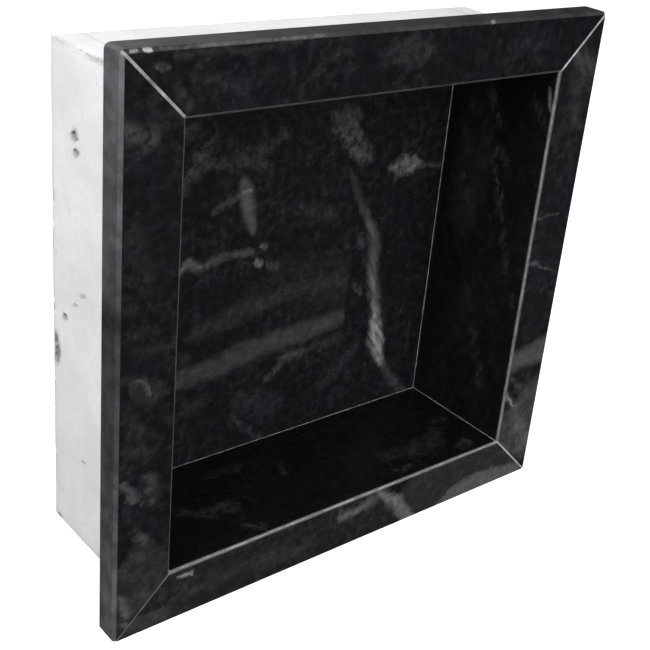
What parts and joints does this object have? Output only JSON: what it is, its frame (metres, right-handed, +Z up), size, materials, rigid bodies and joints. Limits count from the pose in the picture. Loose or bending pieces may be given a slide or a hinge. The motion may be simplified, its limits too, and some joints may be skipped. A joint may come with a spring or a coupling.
{
  "type": "recessed stone wall niche",
  "caption": "Square recessed wall shelf of dark veined stone slab, with a mitred flange that laps over the wall and a coated box behind it.",
  "frame": {"origin": "centre of the hole in the wall, in the plane of the finished wall, which is the plane of the flange's back", "axes": "+X to the right as seen from the room, +Y into the wall, +Z up"},
  "size_m": [0.387, 0.1215, 0.387],
  "materials": {
    "polished_stone": "polished, black with grey and white veins",
    "epoxy_seam": "sanded pale grey epoxy",
    "cement_coat": "matt pale cement slurry"
  },
  "bodies": {
    "root": {"back_panel": "polished_stone", "back_seam_bottom": "epoxy_seam", "back_seam_left": "epoxy_seam", "back_seam_right": "epoxy_seam", "back_seam_top": "epoxy_seam", "ceiling": "polished_stone", "cement_coat": "cement_coat", "corner_seam_bottom_left": "epoxy_seam", "corner_seam_bottom_right": "epoxy_seam", "corner_seam_top_left": "epoxy_seam", "corner_seam_top_right": "epoxy_seam", "edge_seam_bottom": "epoxy_seam", "edge_seam_left": "epoxy_seam", "edge_seam_right": "epoxy_seam", "edge_seam_top": "epoxy_seam", "flange_bottom": "polished_stone", "flange_left": "polished_stone", "flange_mitre_seam_bottom_left": "epoxy_seam", "flange_mitre_seam_bottom_right": "epoxy_seam", "flange_mitre_seam_top_left": "epoxy_seam", "flange_mitre_seam_top_right": "epoxy_seam", "flange_right": "polished_stone", "flange_top": "polished_stone", "shelf": "polished_stone", "wall_left": "polished_stone", "wall_right": "polished_stone"}
  },
  "joints": []
}
